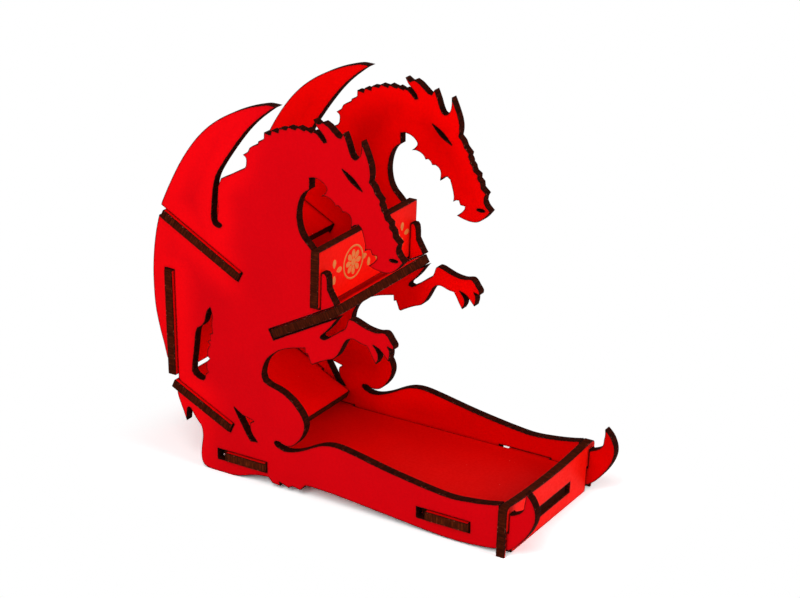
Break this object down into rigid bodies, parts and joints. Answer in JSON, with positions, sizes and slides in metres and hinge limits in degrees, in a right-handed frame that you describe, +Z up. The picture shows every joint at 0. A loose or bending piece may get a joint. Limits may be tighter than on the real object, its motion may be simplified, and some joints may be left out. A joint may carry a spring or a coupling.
{
  "type": "dice tower",
  "caption": "Tower of slotted red boards with dragon-shaped sides, sloping ramps inside and a long open tray in front.",
  "frame": {"origin": "middle of the tower's length and width, on the surface it stands on", "axes": "+Z up, -Y the way the dragon looks and the tray reaches, +X to the dragon's left"},
  "size_m": [0.0564, 0.1406, 0.1279],
  "materials": {
    "red_sides": "deep red satin paint on laser-cut board, edges burnt dark brown",
    "red_ramps": "deep red satin paint on laser-cut board, edges burnt dark brown",
    "red_front": "bright red satin paint on laser-cut board, edges burnt dark brown",
    "red_tray": "deep red satin paint on laser-cut board, edges burnt dark brown"
  },
  "bodies": {
    "root": {"right_side": "red_sides", "left_side": "red_sides", "upper_ramp": "red_ramps", "back_wall": "red_ramps", "lower_ramp": "red_ramps", "front_board": "red_front", "front_baffle": "red_front", "tray_floor": "red_tray", "tray_front": "red_front"}
  },
  "joints": []
}
